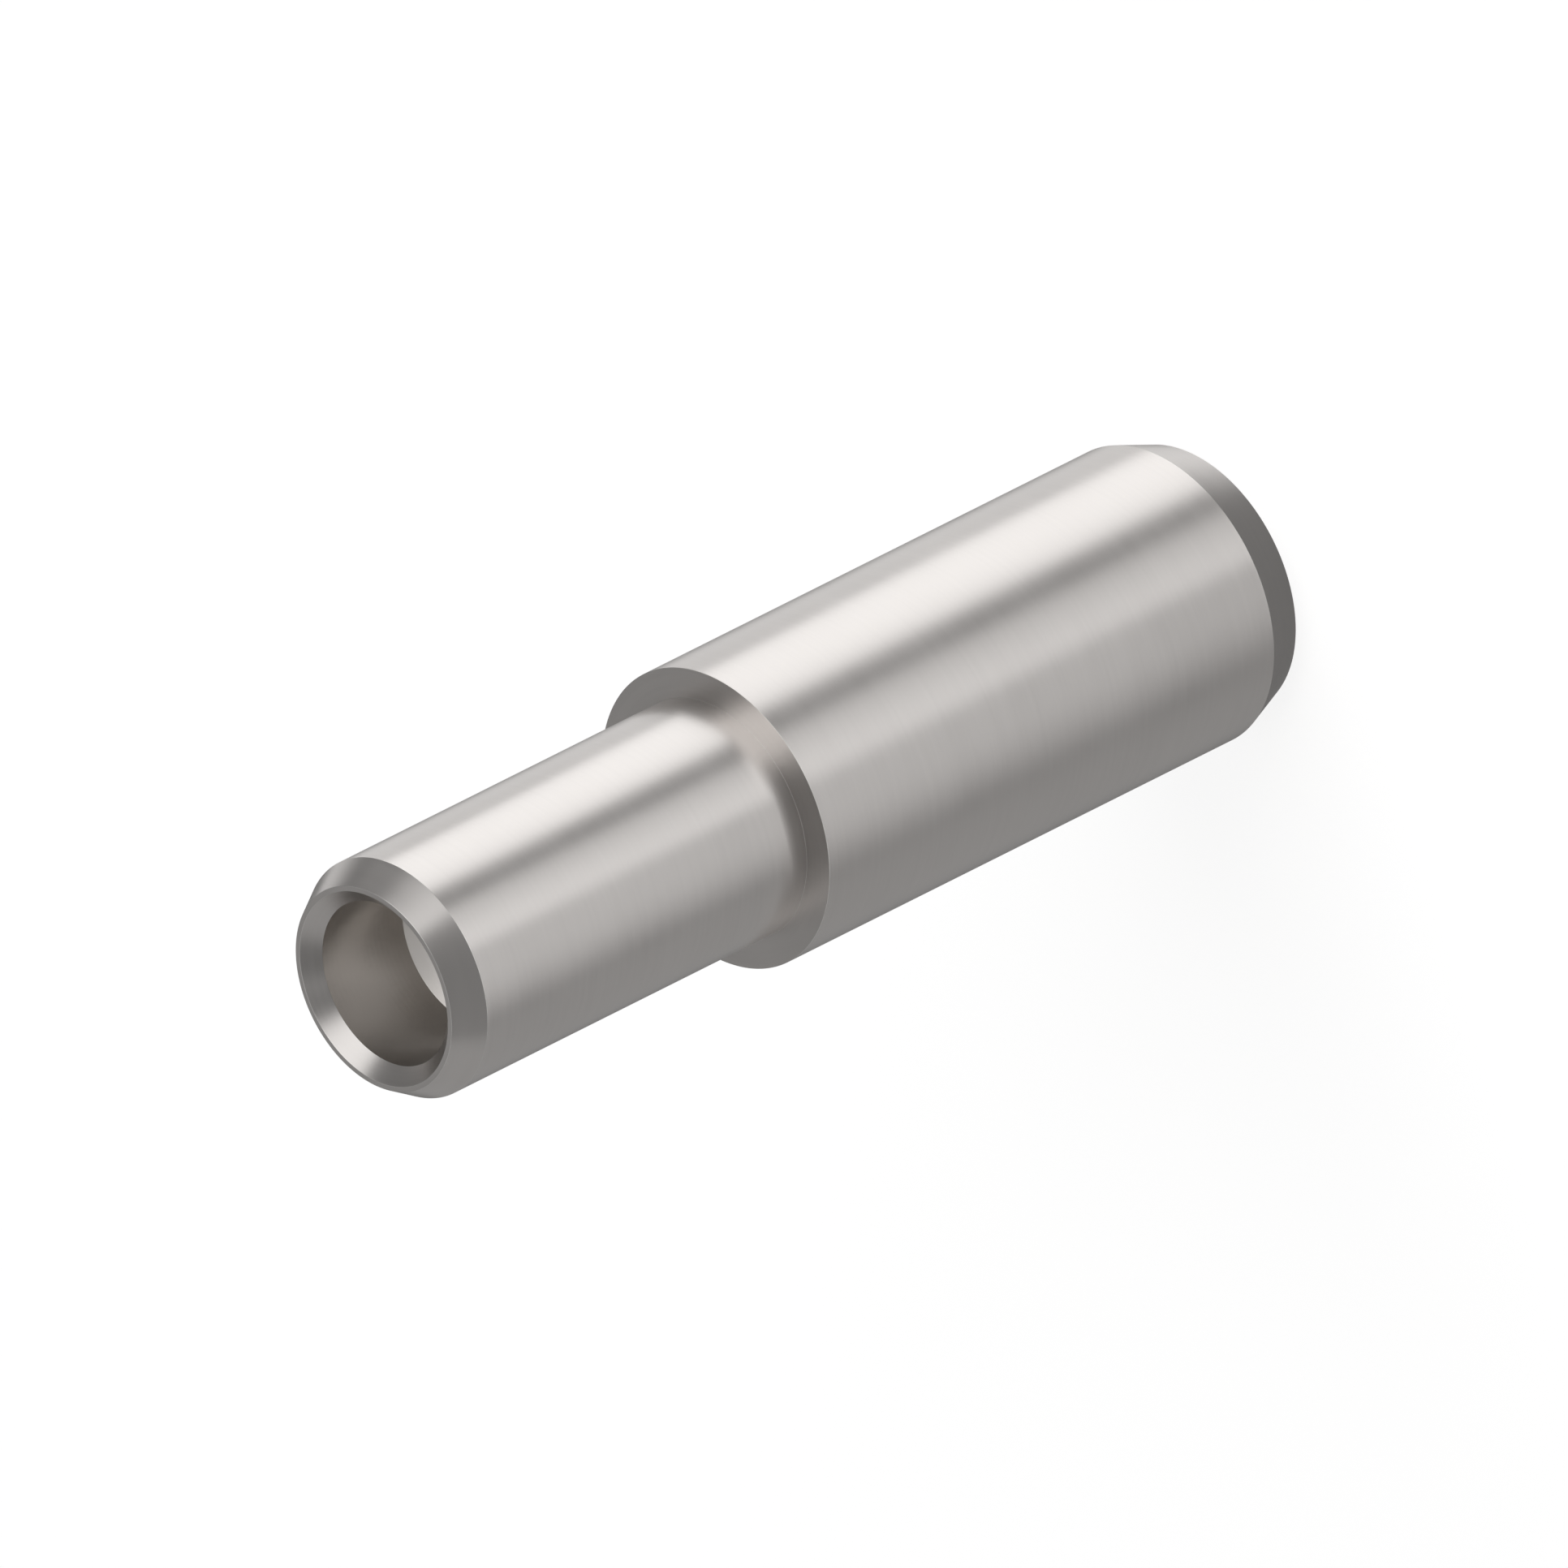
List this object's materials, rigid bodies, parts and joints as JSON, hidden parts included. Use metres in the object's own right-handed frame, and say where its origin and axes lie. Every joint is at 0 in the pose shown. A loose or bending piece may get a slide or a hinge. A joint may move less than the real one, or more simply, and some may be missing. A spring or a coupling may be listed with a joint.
{
  "type": "differential lock pin",
  "caption": "Turned steel lock pin with a thick shank, a thinner nose in front of a square shoulder, a chamfer at each end and a blind countersunk bore in the nose end.",
  "frame": {"origin": "centre of the large end face, on the pin's axis", "axes": "+Z along the pin's axis from the large end to the small end, up as the pin stands; X and Y are any two square directions across the pin, which is round"},
  "size_m": [0.02, 0.02, 0.072],
  "materials": {
    "turned_steel": "fine turned and ground steel, satin"
  },
  "bodies": {
    "root": {"lock_pin": "turned_steel"}
  },
  "joints": []
}
